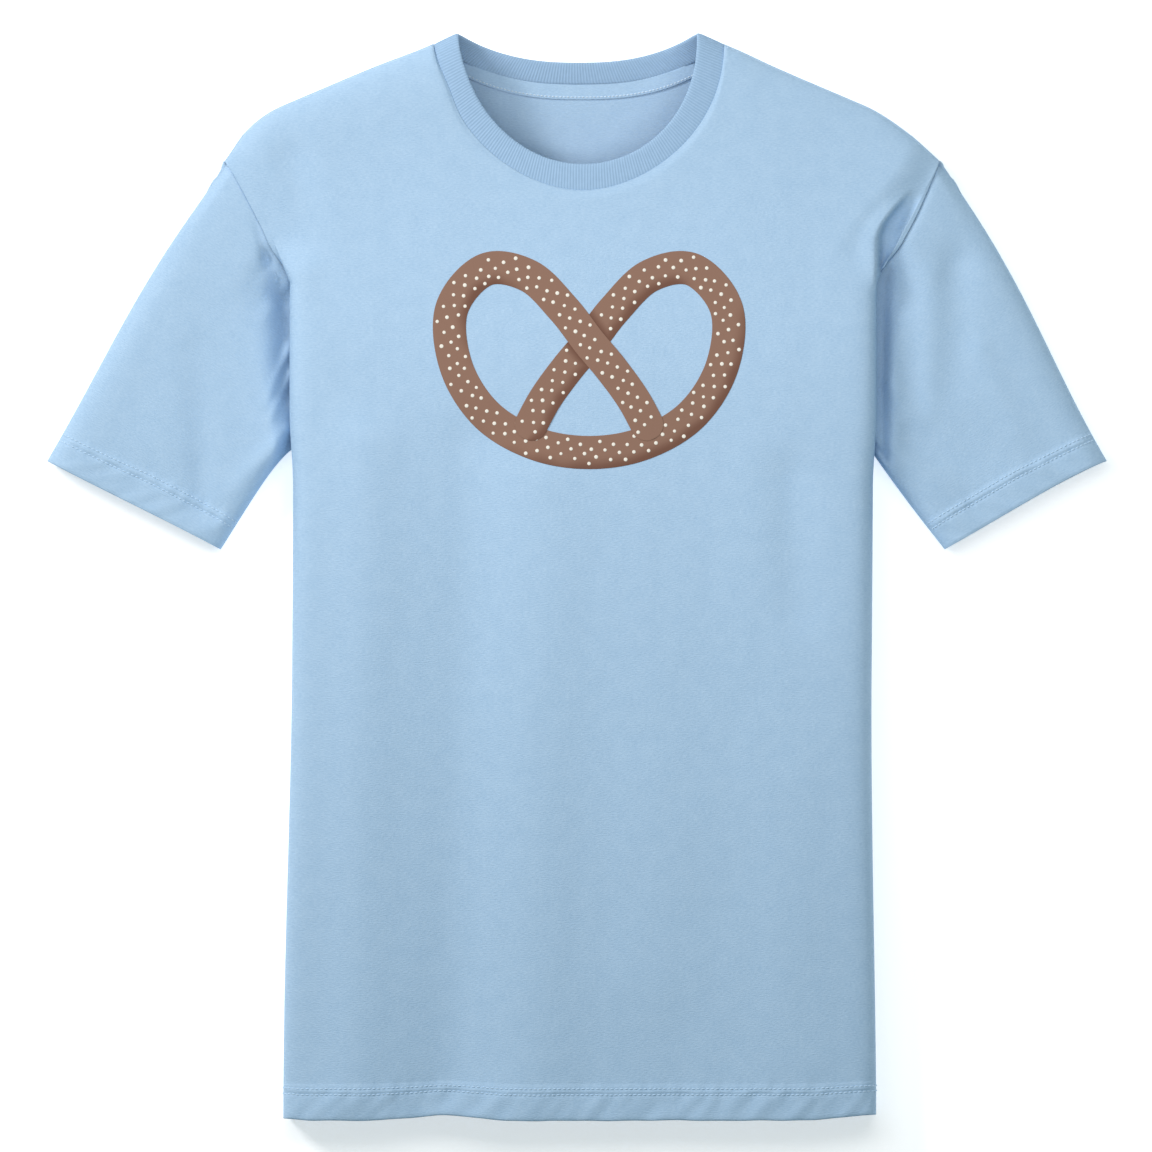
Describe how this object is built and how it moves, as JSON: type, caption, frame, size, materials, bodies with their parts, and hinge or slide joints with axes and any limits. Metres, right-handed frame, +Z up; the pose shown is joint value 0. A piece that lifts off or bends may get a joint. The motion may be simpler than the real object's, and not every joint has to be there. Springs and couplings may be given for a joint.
{
  "type": "short-sleeved t-shirt",
  "caption": "Crew-neck t-shirt of cotton jersey with short set-in sleeves and a rib collar, laid on its back with its cloth softly lofted.",
  "frame": {"origin": "centre of the bounding box's bottom face: on the surface that the shirt lies on, under its middle", "axes": "+Y from the hem towards the neck, +Z up out of the front of the shirt, +X towards the sleeve on the right of the picture"},
  "size_m": [0.705, 0.7218, 0.0553],
  "materials": {
    "jersey": "matt single jersey, light blue with a faint heather",
    "rib_knit": "matt 1x1 rib knit in the same light blue"
  },
  "bodies": {
    "root": {"body_front": "jersey", "body_back": "jersey", "sleeve_left": "jersey", "sleeve_right": "jersey", "collar": "rib_knit", "neck_tape": "jersey"}
  },
  "joints": []
}
